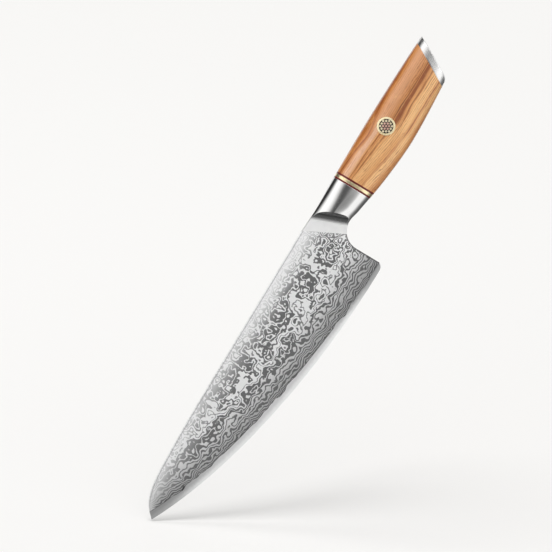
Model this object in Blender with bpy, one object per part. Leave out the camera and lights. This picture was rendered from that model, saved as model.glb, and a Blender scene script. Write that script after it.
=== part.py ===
"""Chef's knife: a laminated blade welded to a steel bolster, on a wooden handle with a hidden tang.

Every length below is in millimetres, and becomes metres where a mesh is made.
+X runs from the butt to the tip, +Z from the edge to the spine, and +Y is the left side of the knife.
The origin lies on the flat, slanted end face of the butt cap, on the handle's length axis.
"""

import math

import bmesh
import bpy
from mathutils import Vector

MM = 0.001

# Clearances
BOND_GAP = 0.05  # between faces that are glued, welded or pressed together
PIN_GAP = 0.1  # around round pieces, whose facets need a little more room
BEYOND = 5.0  # how far a cutter runs past what it cuts
THROUGH = 30.0  # half length of a cutter that goes right through the handle
CUTTER_REACH = 45.0  # how far the bolster's cutters run past it
MERGE_DISTANCE = 0.002  # points closer than this are one point
SMOOTH_BELOW = math.radians(30)  # edges that bend less than this are shaded smooth
HALVINGS = 40  # steps of a search that halves its interval

# Handle outline, as (x, value) knots that a smooth curve runs through
HANDLE_TOP = ((-10.0, 12.3), (14.5, 13.35), (56.0, 14.2), (94.0, 13.9), (115.0, 13.35), (132.0, 14.0))
HANDLE_BOTTOM = (
    (-10.0, -12.0),
    (14.5, -13.9),
    (50.5, -15.4),
    (79.0, -13.15),
    (102.0, -9.5),
    (106.5, -8.4),
    (111.5, -6.8),
    (132.0, -5.5),
)
HANDLE_HALF_WIDTH = (
    (-10.0, 9.9),
    (14.5, 10.4),
    (50.5, 10.8),
    (79.0, 10.1),
    (94.0, 9.2),
    (112.0, 6.6),
    (132.0, 5.5),
)
OVAL_POWER = ((-10.0, 2.4), (60.0, 2.4), (92.0, 2.3), (110.0, 1.7), (132.0, 1.6))  # 2 is an ellipse
OVAL_POINTS = 36
SLANT_STEPS = 12  # rounds of finding where a slanted section meets the outline

# Butt cap
CAP_ANGLE = math.radians(29.3)  # lean of the cap's faces from upright
CAP_SLANT = math.tan(CAP_ANGLE)
CAP_DEPTH = 5.1  # along X
CAP_TOP_ROUND = 0.35
CAP_HEEL_ROUND = 2.6
HEEL_ROUND_SPREAD = 6  # the higher, the closer the heel's rounding keeps to the lowest point
CAP_ROUND_STEPS = (0.0, 0.12, 0.35, 0.8, 1.5, 2.6)  # distances in front of the outer face
STUD_RADIUS = 2.5
STUD_BACK = 2.6
STUD_FRONT = 16.0
STUD_SEGMENTS = 20

# Wood: share of the cap's slant at each section, from the cap to the rings
WOOD_SLANTS = (1.0, 0.9, 0.75, 0.6, 0.4, 0.2, 0.1, 0.0, 0.0, 0.0)

# Stack in front of the wood
WOOD_FRONT = 88.6
REAR_SPACER_FRONT = 89.7
BRASS_RING_FRONT = 91.6
FRONT_SPACER_FRONT = 92.6

# Hidden tang
TANG_BACK = 38.0
TANG_FRONT = 101.0
TANG_MIDDLE_Z = 2.9
TANG_HALF_HEIGHT = 8.0
TANG_CORNER = 4.0
TANG_CORNER_STEPS = 4
TANG_HALF_THICKNESS = 1.5
GLUE_THICKNESS = 0.8

# Mosaic pin
PIN_X = 50.5
PIN_Z = 2.9
PIN_RADIUS = 5.6
PIN_BORE = 4.45
PIN_SEGMENTS = 32
PIN_BLANK = 10.0  # half length of the pin's pieces before they are ground flush
ROD_RADIUS = 0.80
ROD_PITCH = 1.80
ROD_SEGMENTS = 12

# Blade
BLADE_HALF_THICKNESS = 1.1  # at the bolster
TIP_HALF_THICKNESS = 0.5
CORE_SHARE = 0.32  # the hard core's share of the spine thickness
SPINE_Z = 14.0
TIP = (325.0, 1.7)
TIP_CURVE = ((240.0, 14.0), (264.0, 13.9), (290.5, 13.1), (302.5, 12.35), (312.1, 10.55), (319.3, 7.25), TIP)
EDGE_Z = -38.4
HEEL_X = 122.4
HEEL_RADIUS = 4.0
HEEL_ROWS = (-27.0, -31.0)  # heights at which rows of points cross the straight heel
EDGE_CURVE = ((HEEL_X + HEEL_RADIUS, EDGE_Z), (186.4, EDGE_Z), (268.5, -27.1), TIP)
CHOIL_RADIUS = 11.8
CHOIL_CENTRE = (HEEL_X - CHOIL_RADIUS, -19.6)
WELD_TOP = (130.1, SPINE_Z)
WELD_SLOPE = 0.5  # how far the weld moves forward for each millimetre up
CHOIL_STEPS = 6
CORNER_STEPS = 4
CORE_SHOWS = 4.2  # width of bare core above the edge
SHARPENED = 0.8  # width of the final bevel
SHOULDER_SHARE = 0.4  # core thickness left at the top of the final bevel
FLATNESS = 1.25  # 1 is a flat wedge, and more is a slightly convex side
BLADE_COLUMNS = 26
SLOPE_STEP = 0.001  # step along the edge curve over which its slope is measured

# Bolster
BOLSTER_STATIONS = (97.0, 101.0, 104.0, 106.5, 109.0, 111.0, 113.0, 120.0, 131.0)
RICASSO_TUCK = 0.2  # keeps the plate's faces clear of the bolster's own before both are ground
RICASSO_TOP = (132.0, 124.0, 118.0, 110.0, 102.0)  # along X
RICASSO_UNDERSIDE = ((102.0, -6.0), (105.5, -7.0), (107.5, -8.05), (109.0, -7.85))  # (x, z) inside it
RICASSO_CHOIL = (90, 20)  # stretch of the choil in degrees
RICASSO_CHOIL_STEPS = 10

# Plunge cuts, where the bolster is ground down to the blade's thickness
PLUNGE_RADIUS = 6.4
PLUNGE_LEAN = math.radians(20.9)
PLUNGE_AT = (118.3, 4.1)  # a point on the line where the cut meets the flat of the blade
PLUNGE_STEPS = 8


def curve_value(knots, x):
    """Cubic curve through (x, value) knots, with each inner knot's slope taken from its neighbours."""
    slopes = []
    for i in range(len(knots)):
        before = knots[max(i - 1, 0)]
        after = knots[min(i + 1, len(knots) - 1)]
        slopes.append((after[1] - before[1]) / (after[0] - before[0]))
    i = 0
    while i < len(knots) - 2 and x > knots[i + 1][0]:
        i += 1
    span = knots[i + 1][0] - knots[i][0]
    t = (x - knots[i][0]) / span
    start = (2 * t**3 - 3 * t**2 + 1) * knots[i][1] + (t**3 - 2 * t**2 + t) * span * slopes[i]
    end = (3 * t**2 - 2 * t**3) * knots[i + 1][1] + (t**3 - t**2) * span * slopes[i + 1]
    return start + end


def bezier_point(controls, t):
    weights = ((1 - t) ** 3, 3 * t * (1 - t) ** 2, 3 * t**2 * (1 - t), t**3)
    return tuple(sum(w * p[k] for w, p in zip(weights, controls)) for k in (0, 1))


def arc(centre, radius, start, end, steps):
    """Points on a circle in the XZ plane, from one angle in degrees to another."""
    points = []
    for i in range(steps + 1):
        angle = math.radians(start + (end - start) * i / steps)
        points.append((centre[0] + radius * math.cos(angle), centre[1] + radius * math.sin(angle)))
    return points


def new_object(name, bm, material):
    """Closes off a mesh in millimetres as a named object in metres."""
    bmesh.ops.remove_doubles(bm, verts=bm.verts, dist=MERGE_DISTANCE)
    bmesh.ops.recalc_face_normals(bm, faces=bm.faces)
    bmesh.ops.scale(bm, vec=Vector((MM, MM, MM)), verts=bm.verts)
    mesh = bpy.data.meshes.new(name)
    bm.to_mesh(mesh)
    bm.free()
    obj = bpy.data.objects.new(name, mesh)
    bpy.context.scene.collection.objects.link(obj)
    if material:
        mesh.materials.append(material)
        mesh.shade_smooth()
        mesh.set_sharp_from_angle(angle=SMOOTH_BELOW)
    return obj


def loft(name, rings, material=None):
    """Skins a list of equal-sized point loops and caps both ends."""
    bm = bmesh.new()
    loops = [[bm.verts.new(point) for point in ring] for ring in rings]
    count = len(loops[0])
    for low, high in zip(loops, loops[1:]):
        for i in range(count):
            j = (i + 1) % count
            bm.faces.new((low[i], low[j], high[j], high[i]))
    bm.faces.new(loops[0])
    bm.faces.new(loops[-1])
    return new_object(name, bm, material)


def prism(name, outline, half_width, material=None):
    """Extrudes an (x, z) outline to both sides of the blade's plane."""
    rings = [[(x, y, z) for x, z in outline] for y in (-half_width, half_width)]
    return loft(name, rings, material)


def round_bar(name, x, z, radius, segments, half_length, material=None):
    """A round bar that runs across the handle, along Y."""
    circle = arc((x, z), radius, 0, 360, segments)[:-1]
    return prism(name, circle, half_length, material)


def cut(obj, cutter, operation="DIFFERENCE"):
    """Applies an exact Boolean and removes the cutter."""
    modifier = obj.modifiers.new("cut", "BOOLEAN")
    modifier.operation = operation
    modifier.solver = "EXACT"
    modifier.object = cutter
    bpy.context.view_layer.objects.active = obj
    bpy.ops.object.modifier_apply(modifier=modifier.name)
    bpy.data.objects.remove(cutter)


def material(name, colour, roughness, metallic):
    made = bpy.data.materials.new(name)
    made.use_nodes = True
    shader = made.node_tree.nodes["Principled BSDF"]
    shader.inputs["Base Color"].default_value = (*colour, 1.0)
    shader.inputs["Roughness"].default_value = roughness
    shader.inputs["Metallic"].default_value = metallic
    made.diffuse_color = (*colour, 1.0)
    return made


def oval_sizes(x):
    """(middle height, half height, half width, power) of the handle's section at x."""
    top = curve_value(HANDLE_TOP, x)
    bottom = curve_value(HANDLE_BOTTOM, x)
    half_width = curve_value(HANDLE_HALF_WIDTH, x)
    return (top + bottom) / 2, (top - bottom) / 2, half_width, curve_value(OVAL_POWER, x)


def signed_power(value, power):
    return math.copysign(abs(value) ** power, value)


def handle_side(x, z):
    """How far the handle's side stands from the middle plane at (x, z)."""
    middle, half_height, half_width, power = oval_sizes(x)
    share = min(abs(z - middle) / half_height, 1.0)
    return half_width * (1 - share**power) ** (1 / power)


def handle_ring(x_at_axis, slant=0.0):
    """The handle's section in a plane that crosses the X axis at x_at_axis and leans back as it rises."""
    ring = []
    for i in range(OVAL_POINTS):
        angle = 2 * math.pi * i / OVAL_POINTS
        x = x_at_axis
        for _ in range(SLANT_STEPS):
            middle, half_height, half_width, power = oval_sizes(x)
            z = middle + half_height * signed_power(math.sin(angle), 2 / power)
            x = x_at_axis - slant * z
        ring.append((x, half_width * signed_power(math.cos(angle), 2 / power), z))
    return ring


def handle_block(name, back, front, stations, made_of=None):
    """A straight length of the handle, between two upright planes."""
    xs = [back + (front - back) * i / stations for i in range(stations + 1)]
    return loft(name, [handle_ring(x) for x in xs], made_of)


def tang_outline(margin, back, front):
    """The tang's rounded-end outline grown by margin, between two x positions."""
    low = TANG_MIDDLE_Z - TANG_HALF_HEIGHT - margin
    high = TANG_MIDDLE_Z + TANG_HALF_HEIGHT + margin
    radius = TANG_CORNER + margin
    upper = arc((back + radius, high - radius), radius, 90, 180, TANG_CORNER_STEPS)
    lower = arc((back + radius, low + radius), radius, 180, 270, TANG_CORNER_STEPS)
    return [(front, high), *upper, *lower, (front, low)]


def pin_cutter(gap):
    return round_bar("pin_cutter", PIN_X, PIN_Z, PIN_RADIUS + gap, PIN_SEGMENTS, THROUGH)


def trim_to_handle(obj):
    """Grinds the ends of a cross bar flush with the handle's curved sides."""
    for vertex in obj.data.vertices:
        side = handle_side(vertex.co.x / MM, vertex.co.z / MM)
        vertex.co.y = math.copysign(side * MM, vertex.co.y)


def stud_bar(name, gap, back, front, made_of=None):
    """The round stud that holds the cap, along X."""
    circle = arc((0.0, 0.0), STUD_RADIUS + gap, 0, 360, STUD_SEGMENTS)[:-1]
    return loft(name, [[(x, y, z) for y, z in circle] for x in (back, front)], made_of)


def build_wood(wood):
    back = CAP_DEPTH + BOND_GAP
    front = WOOD_FRONT - BOND_GAP
    spacing = (front - back) / (len(WOOD_SLANTS) - 1)
    rings = []
    for i, share in enumerate(WOOD_SLANTS):
        rings.append(handle_ring(back + spacing * i, CAP_SLANT * share))
    handle = loft("wood_handle", rings, wood)
    slot = tang_outline(GLUE_THICKNESS, TANG_BACK - GLUE_THICKNESS, WOOD_FRONT + BEYOND)
    cut(handle, prism("slot_cutter", slot, TANG_HALF_THICKNESS + GLUE_THICKNESS))
    cut(handle, pin_cutter(PIN_GAP))
    cut(handle, stud_bar("stud_cutter", PIN_GAP, CAP_DEPTH - BEYOND, STUD_FRONT + PIN_GAP))


def middle_of(ring):
    return [sum(point[k] for point in ring) / len(ring) for k in range(3)]


def cap_ring(distance):
    """A section of the butt cap, drawn in where its outer corner is rounded: most at the bottom."""
    ring = handle_ring(distance / math.cos(CAP_ANGLE), CAP_SLANT)
    centre = Vector(middle_of(ring))
    points = []
    for i, point in enumerate(ring):
        downward = max(-math.sin(2 * math.pi * i / OVAL_POINTS), 0.0)
        radius = CAP_TOP_ROUND + (CAP_HEEL_ROUND - CAP_TOP_ROUND) * downward**HEEL_ROUND_SPREAD
        inset = 0.0
        if distance < radius:
            inset = radius - math.sqrt(radius**2 - (radius - distance) ** 2)
        arm = Vector(point) - centre
        points.append(centre + arm * (1 - inset / arm.length))
    return points


def build_cap(steel):
    depth = CAP_DEPTH * math.cos(CAP_ANGLE)
    cap = loft("end_cap", [cap_ring(distance) for distance in (*CAP_ROUND_STEPS, depth)], steel)
    cut(cap, stud_bar("stud_cutter", PIN_GAP, STUD_BACK - PIN_GAP, STUD_FRONT))
    stud_bar("cap_stud", 0.0, STUD_BACK, STUD_FRONT, steel)


def build_rings(red, brass):
    stack = (
        ("rear_spacer", WOOD_FRONT, REAR_SPACER_FRONT, red),
        ("brass_ring", REAR_SPACER_FRONT, BRASS_RING_FRONT, brass),
        ("front_spacer", BRASS_RING_FRONT, FRONT_SPACER_FRONT, red),
    )
    for name, back, front, made_of in stack:
        ring = handle_block(name, back + BOND_GAP, front - BOND_GAP, 1, made_of)
        slot = tang_outline(PIN_GAP, TANG_BACK, TANG_FRONT + BEYOND)
        cut(ring, prism("slot_cutter", slot, TANG_HALF_THICKNESS + PIN_GAP))


def build_tang(steel, epoxy):
    tang = prism("tang", tang_outline(0.0, TANG_BACK, TANG_FRONT), TANG_HALF_THICKNESS, steel)
    cut(tang, pin_cutter(2 * PIN_GAP))
    outside = GLUE_THICKNESS - BOND_GAP
    shell = tang_outline(outside, TANG_BACK - outside, WOOD_FRONT - BOND_GAP)
    bedding = prism("tang_epoxy", shell, TANG_HALF_THICKNESS + outside, epoxy)
    inside = tang_outline(BOND_GAP, TANG_BACK - BOND_GAP, WOOD_FRONT + BEYOND)
    cut(bedding, prism("tang_cutter", inside, TANG_HALF_THICKNESS + BOND_GAP))
    cut(bedding, pin_cutter(2 * PIN_GAP))


def rod_places():
    """Names and centres of the rods: one in the middle, six around it and twelve around those."""
    places = [("pin_rod_centre", 0.0, 0.0)]
    for i in range(6):
        angle = math.radians(60 * i)
        places.append((f"pin_rod_inner_{i + 1}", ROD_PITCH * math.cos(angle), ROD_PITCH * math.sin(angle)))
    for i in range(12):
        angle = math.radians(30 * i)
        reach = ROD_PITCH * (2.0 if i % 2 == 0 else math.sqrt(3))
        places.append((f"pin_rod_outer_{i + 1}", reach * math.cos(angle), reach * math.sin(angle)))
    return places


def build_pin(brass, copper, epoxy):
    tube = round_bar("pin_tube", PIN_X, PIN_Z, PIN_RADIUS, PIN_SEGMENTS, PIN_BLANK, brass)
    cut(tube, round_bar("bore_cutter", PIN_X, PIN_Z, PIN_BORE, PIN_SEGMENTS, THROUGH))
    trim_to_handle(tube)
    resin = round_bar("pin_resin", PIN_X, PIN_Z, PIN_BORE - BOND_GAP, PIN_SEGMENTS, PIN_BLANK, epoxy)
    for name, dx, dz in rod_places():
        x = PIN_X + dx
        z = PIN_Z + dz
        cut(resin, round_bar("rod_cutter", x, z, ROD_RADIUS + BOND_GAP, ROD_SEGMENTS, THROUGH))
        metal = brass if "outer" in name else copper
        rod = round_bar(name, x, z, ROD_RADIUS, ROD_SEGMENTS, PIN_BLANK, metal)
        trim_to_handle(rod)
    trim_to_handle(resin)


def plunge_cutter(side):
    """The grinding wheel's sweep on one side: a flat floor at the blade's side, then a concave corner."""
    along = Vector((math.sin(PLUNGE_LEAN), 0, math.cos(PLUNGE_LEAN)))
    forward = Vector((math.cos(PLUNGE_LEAN), 0, -math.sin(PLUNGE_LEAN)))
    corner = []
    for i in range(PLUNGE_STEPS + 1):
        angle = math.pi / 2 * i / PLUNGE_STEPS
        back = -PLUNGE_RADIUS * math.sin(angle)
        rise = PLUNGE_RADIUS * (1 - math.cos(angle))
        corner.append((back, BLADE_HALF_THICKNESS + rise))
    floor = (CUTTER_REACH, BLADE_HALF_THICKNESS)
    profile = [floor, *corner, (-PLUNGE_RADIUS, THROUGH), (CUTTER_REACH, THROUGH)]
    start = Vector((PLUNGE_AT[0], 0, PLUNGE_AT[1]))
    rings = []
    for reach in (-CUTTER_REACH, CUTTER_REACH):
        rings.append([start + along * reach + forward * f + Vector((0, side * y, 0)) for f, y in profile])
    return loft("plunge_cutter", rings)


def weld_x(z):
    return WELD_TOP[0] + (z - WELD_TOP[1]) * WELD_SLOPE


def choil_at_weld():
    """Angle in degrees, about the choil's centre, at which the choil crosses the weld."""
    low = 0.0
    high = 90.0
    for _ in range(HALVINGS):
        middle = (low + high) / 2
        x, z = arc(CHOIL_CENTRE, CHOIL_RADIUS, middle, middle, 1)[0]
        if x > weld_x(z):
            low = middle
        else:
            high = middle
    return low


def ricasso_outline():
    """Outline of the plate between bolster and blade, from inside the bolster to past the weld."""
    top = [(x, curve_value(HANDLE_TOP, x) - RICASSO_TUCK) for x in RICASSO_TOP]
    choil = arc(CHOIL_CENTRE, CHOIL_RADIUS, *RICASSO_CHOIL, RICASSO_CHOIL_STEPS)
    return [*top, *RICASSO_UNDERSIDE, *choil, (RICASSO_TOP[0], choil[-1][1])]


def build_bolster(steel):
    back = FRONT_SPACER_FRONT + BOND_GAP
    bolster = loft("bolster", [handle_ring(x) for x in (back, *BOLSTER_STATIONS)], steel)
    cut(bolster, prism("ricasso", ricasso_outline(), BLADE_HALF_THICKNESS + RICASSO_TUCK), "UNION")
    for side in (-1, 1):
        cut(bolster, plunge_cutter(side))
    low = EDGE_Z - BEYOND
    high = SPINE_Z + BEYOND
    far = WELD_TOP[0] + CUTTER_REACH
    in_front = [(weld_x(low) - BOND_GAP, low), (weld_x(high) - BOND_GAP, high), (far, high), (far, low)]
    cut(bolster, prism("weld_cutter", in_front, THROUGH))
    socket = tang_outline(PIN_GAP, TANG_BACK, TANG_FRONT + PIN_GAP)
    cut(bolster, prism("socket_cutter", socket, TANG_HALF_THICKNESS + PIN_GAP))


def edge_at(x):
    """(height, slope) of the cutting edge at x."""
    if x <= EDGE_CURVE[0][0]:
        return EDGE_Z, 0.0
    low = 0.0
    high = 1.0
    for _ in range(HALVINGS):
        middle = (low + high) / 2
        if bezier_point(EDGE_CURVE, middle)[0] < x:
            low = middle
        else:
            high = middle
    here = bezier_point(EDGE_CURVE, low)
    back = bezier_point(EDGE_CURVE, low - SLOPE_STEP)
    return here[1], (here[1] - back[1]) / (here[0] - back[0])


def spine_at(x):
    if x <= TIP_CURVE[0][0]:
        return SPINE_Z
    return curve_value(TIP_CURVE, x)


def above_edge(x, z):
    """Distance from the cutting edge, measured square to it."""
    height, slope = edge_at(x)
    return (z - height) / math.hypot(1, slope)


def half_thickness(x):
    """Half the thickness at the spine, which tapers evenly to the tip."""
    share = (x - HEEL_X) / (TIP[0] - HEEL_X)
    return BLADE_HALF_THICKNESS + (TIP_HALF_THICKNESS - BLADE_HALF_THICKNESS) * share


def core_side(x, z):
    """Side of the hard core: flat between the claddings, then ground down to the edge."""
    full = CORE_SHARE * half_thickness(x)
    from_edge = max(above_edge(x, z), 0.0)
    if from_edge < SHARPENED:
        return full * SHOULDER_SHARE * from_edge / SHARPENED
    share = min((from_edge - SHARPENED) / (CORE_SHOWS - SHARPENED), 1.0)
    return full * (SHOULDER_SHARE + (1 - SHOULDER_SHARE) * share)


def cladding_inside(x, _z=0.0):
    """Inner side of the cladding, which is flat and the same at every height."""
    return CORE_SHARE * half_thickness(x) + BOND_GAP / 2


def cladding_side(x, z):
    """Outer side of the cladding: a slightly convex wedge that runs out where the core shows."""
    inside = cladding_inside(x)
    tallest = above_edge(x, SPINE_Z) - CORE_SHOWS
    share = min(max((above_edge(x, z) - CORE_SHOWS) / tallest, 0.0), 1.0)
    return inside + (half_thickness(x) - inside) * (1 - (1 - share) ** FLATNESS)


def weld_and_choil(lowest):
    """The back end of the laminate, from the spine down the weld, the choil and the heel."""
    choil = arc(CHOIL_CENTRE, CHOIL_RADIUS, choil_at_weld(), 0, CHOIL_STEPS)
    middle_z = (SPINE_Z + choil[0][1]) / 2
    return [WELD_TOP, (weld_x(middle_z), middle_z), *choil, (HEEL_X, HEEL_ROWS[0]), (HEEL_X, lowest)]


def patch_points(back, top, bottom):
    """Fills the space between a back line, a top line and a bottom line that meet at one point in front."""
    lengths = [0.0]
    for a, b in zip(back, back[1:]):
        lengths.append(lengths[-1] + math.dist(a, b))
    columns = len(top) - 1
    front = top[-1]
    grid = []
    for point, length in zip(back, lengths):
        s = length / lengths[-1]
        row = []
        for j in range(columns + 1):
            u = j / columns
            place = []
            for k in (0, 1):
                across = (1 - u) * point[k] + u * front[k]
                down = (1 - s) * top[j][k] + s * bottom[j][k]
                corners = (1 - u) * ((1 - s) * back[0][k] + s * back[-1][k]) + u * front[k]
                place.append(across + down - corners)
            row.append(tuple(place))
        grid.append(row)
    return grid


def blade_layer(name, grid, left, right, made_of):
    """A closed plate over a grid of (x, z) points, between two side surfaces."""
    bm = bmesh.new()
    sheets = []
    for side in (left, right):
        sheets.append([[bm.verts.new((x, side(x, z), z)) for x, z in row] for row in grid])
    rows = len(grid) - 1
    columns = len(grid[0]) - 1
    for i in range(rows):
        for j in range(columns):
            a, b = sheets
            bm.faces.new((a[i][j], a[i + 1][j], a[i + 1][j + 1], a[i][j + 1]))
            bm.faces.new((b[i][j], b[i][j + 1], b[i + 1][j + 1], b[i + 1][j]))
    for j in range(columns):
        for i in (0, rows):
            bm.faces.new((sheets[0][i][j], sheets[0][i][j + 1], sheets[1][i][j + 1], sheets[1][i][j]))
    for i in range(rows):
        for j in (0, columns):
            bm.faces.new((sheets[0][i][j], sheets[0][i + 1][j], sheets[1][i + 1][j], sheets[1][i][j]))
    return new_object(name, bm, made_of)


def core_line(t):
    """A point on the line where the cladding ends, square above the edge."""
    x, z = bezier_point(EDGE_CURVE, t)
    slope = edge_at(x)[1]
    reach = CORE_SHOWS / math.hypot(1, slope)
    return x - slope * reach, z + reach


def core_line_end():
    """How far along the edge curve the core line meets the falling spine."""
    low = 0.5
    high = 1.0
    for _ in range(HALVINGS):
        middle = (low + high) / 2
        x, z = core_line(middle)
        if z < spine_at(x):
            low = middle
        else:
            high = middle
    return low


def top_line(front_x):
    points = []
    for j in range(BLADE_COLUMNS + 1):
        x = WELD_TOP[0] + (front_x - WELD_TOP[0]) * j / BLADE_COLUMNS
        points.append((x, spine_at(x)))
    return points


def on_side(sign, distance):
    """A side surface of a blade layer: the distance from the middle plane, to the left (1) or right (-1)."""

    def side(x, z):
        return sign * distance(x, z)

    return side


def build_blade(core_steel, damascus):
    corner = arc((HEEL_X + HEEL_RADIUS, EDGE_Z + HEEL_RADIUS), HEEL_RADIUS, 180, 270, CORNER_STEPS)
    back = weld_and_choil(HEEL_ROWS[1]) + corner
    bottom = [bezier_point(EDGE_CURVE, j / BLADE_COLUMNS) for j in range(BLADE_COLUMNS + 1)]
    grid = patch_points(back, top_line(TIP[0]), bottom)
    blade_layer("blade_core", grid, on_side(1, core_side), on_side(-1, core_side), core_steel)

    end = core_line_end()
    meeting = core_line(end)
    lines = [core_line(end * j / BLADE_COLUMNS) for j in range(BLADE_COLUMNS)]
    bottom = [(HEEL_X, lines[0][1]), *lines[1:], meeting]
    top = top_line(meeting[0])
    top[-1] = meeting
    grid = patch_points(weld_and_choil(bottom[0][1]), top, bottom)
    for name, sign in (("cladding_left", 1), ("cladding_right", -1)):
        blade_layer(name, grid, on_side(sign, cladding_side), on_side(sign, cladding_inside), damascus)


def clear_scene():
    for obj in list(bpy.data.objects):
        bpy.data.objects.remove(obj)


def main():
    clear_scene()
    bolster_steel = material("bolster_steel", (0.80, 0.80, 0.79), 0.12, 1.0)
    core_steel = material("core_steel", (0.72, 0.72, 0.72), 0.25, 1.0)
    damascus = material("damascus_steel", (0.50, 0.50, 0.50), 0.35, 1.0)
    wood = material("olive_wood", (0.60, 0.34, 0.15), 0.30, 0.0)
    red = material("red_spacer", (0.22, 0.03, 0.02), 0.35, 0.0)
    brass = material("brass", (0.85, 0.68, 0.36), 0.20, 1.0)
    copper = material("copper", (0.80, 0.42, 0.32), 0.25, 1.0)
    epoxy = material("dark_epoxy", (0.03, 0.03, 0.02), 0.40, 0.0)
    build_cap(bolster_steel)
    build_wood(wood)
    build_rings(red, brass)
    build_tang(core_steel, epoxy)
    build_pin(brass, copper, epoxy)
    build_bolster(bolster_steel)
    build_blade(core_steel, damascus)


main()
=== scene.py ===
"""Looks of the chef's knife: fine meshes, procedural materials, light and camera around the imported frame.

Shapes are worked out in millimetres and become metres where a mesh or a light is made.
+X runs from butt to tip, +Z from edge to spine, and +Y is the left side, which the camera sees.
"""

import math

import bmesh
import bpy
import numpy as np
from mathutils import Matrix, Vector


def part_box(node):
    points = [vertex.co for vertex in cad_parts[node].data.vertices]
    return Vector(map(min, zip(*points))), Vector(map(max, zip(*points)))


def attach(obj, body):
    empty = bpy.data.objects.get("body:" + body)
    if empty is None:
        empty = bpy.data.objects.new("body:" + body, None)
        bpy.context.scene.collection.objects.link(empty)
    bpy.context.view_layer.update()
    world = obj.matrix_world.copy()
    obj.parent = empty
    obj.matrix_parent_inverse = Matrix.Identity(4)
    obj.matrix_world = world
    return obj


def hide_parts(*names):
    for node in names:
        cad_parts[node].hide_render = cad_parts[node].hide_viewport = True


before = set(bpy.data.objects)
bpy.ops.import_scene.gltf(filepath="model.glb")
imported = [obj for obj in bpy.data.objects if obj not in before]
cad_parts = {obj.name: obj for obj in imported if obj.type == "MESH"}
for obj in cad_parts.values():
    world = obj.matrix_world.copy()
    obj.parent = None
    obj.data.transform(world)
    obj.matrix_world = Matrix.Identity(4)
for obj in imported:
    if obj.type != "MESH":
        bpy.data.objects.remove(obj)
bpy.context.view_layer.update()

MM = 0.001
TURN = 2 * math.pi

# Handle outline, as (x, value) knots that a smooth curve runs through: the same driving curves as the CAD's
HANDLE_TOP = ((-10.0, 12.3), (14.5, 13.35), (56.0, 14.2), (94.0, 13.9), (115.0, 13.35), (132.0, 14.0))
HANDLE_BOTTOM = (
    (-10.0, -12.0), (14.5, -13.9), (50.5, -15.4), (79.0, -13.15), (102.0, -9.5), (106.5, -8.4),
    (111.5, -6.8), (132.0, -5.5),
)
HANDLE_HALF_WIDTH = (
    (-10.0, 9.9), (14.5, 10.4), (50.5, 10.8), (79.0, 10.1), (94.0, 9.2), (112.0, 6.6), (132.0, 5.5),
)
OVAL_POWER = ((-10.0, 2.4), (60.0, 2.4), (92.0, 2.3), (110.0, 1.7), (132.0, 1.6))  # 2 is an ellipse
AROUND = 144  # points around a section of the handle
WOOD_COLUMNS = 190
SAME_POINT = 1e-6  # metres within which points are welded
RING_ROUNDS = 20  # rounds that bring a leaning section onto the handle's surface
LINE_ROUNDS = 80  # rounds that bring a crossing onto a sloping line
HALVINGS = 40  # halvings that find a crossing between two bounds
# A broken corner, as (distance from the end, inset)
EASE = ((0.0, 0.07), (0.03, 0.03), (0.09, 0.007), (0.2, 0.0))

# Butt cap
CAP_ANGLE = math.radians(29.3)  # lean of the cap's faces from upright
CAP_SLANT = math.tan(CAP_ANGLE)
CAP_DEPTH = 5.1  # along X
CAP_TOP_ROUND = 0.35
CAP_HEEL_ROUND = 2.0
HEEL_ROUND_SPREAD = 6  # the higher, the closer the heel's rounding keeps to the lowest point
CAP_RINGS = 26
CAP_RING_CROWDING = 1.8  # 1 spaces the cap's rings evenly, and more draws them together at the rounded end
CAP_JOINT_BREAK = 0.05  # broken corner at the joint with the wood
CAP_JOINT_REACH = 0.1
STUD_GAP = 0.1
STUD_AROUND = 48

# Joints that glue or welding closes
GLUE_LINE = 0.03
TANG_CORNER = 4.0
TANG_CORNER_STEPS = 8
TANG_GLUE = 0.8

# Mosaic pin, whose bars are made from -1 to 1 across the handle and then ground flush with it
PIN_AROUND = 96
ROD_AROUND = 28
TUBE_RIM = ((0.35, 1.0), (0.08, 0.999), (0.0, 0.992))  # (distance in from the rim, reach across the handle)
ROD_END = ((0.35, 0.0), (0.75, 0.15), (0.92, 0.45), (1.0, 1.0))  # (share of the radius, share of the dome)
ROD_DOME = 0.006
ROD_RIM = (0.6, 1.0)  # shares of the radius between which resin smears over the metal
RESIN_BELOW = 0.05  # resin polishes away a little deeper than metal
PAST_ENDS = 3.0  # half length of the bars that bore the holes

# Bolster: plunge cuts, where it is ground down to the blade's thickness, and the choil under it
PLUNGE_RADIUS = 6.4
PLUNGE_LEAN = math.radians(20.9)
PLUNGE_AT = (118.3, 4.1)  # a point on the line where the cut meets the flat of the blade
PLUNGE_EDGE = 0.06  # softness of the cut's rear edge
PLUNGE_WALL = 20.0  # slope of the side behind the concave corner
PLUNGE_FARTHEST = 1.1  # how far back the rear edge can lie, in plunge radii
PLUNGE_NARROWEST = 0.35
BODY_SHARES = (*(np.arange(1, 36) / 36), 0.985, 0.993)  # columns from the joint to the cut's rear edge
CUT_COLUMNS = 30
FLAT_COLUMNS = 24
MIDDLE_LINE = 1e-9  # cosine under which a point lies in the blade's plane
SATIN_FROM = (-3.0, 0.0)  # distances ahead of the line where the cut meets the flat
FACET_SHADE_FADE = (0.2, 1.8)  # distances behind that line over which painted shade darkens the cut to full
# Painted shade, deeper still, in the cut's concave corner
CORNER_SHADE_FADE = (2.6, 4.8)
FACET_TOUCH = (0.2, 0.05)  # distances from the cut's surface
CHOIL_RADIUS = 11.8
CHOIL_MIDDLE_Z = -19.6
CHOIL_BLEND = (105.5, 109.0)  # where the handle's underside turns into the choil
WELD_SLOPE = 0.5  # how far the weld moves forward for each millimetre up
WELD_TOP_X = 130.1

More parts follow.
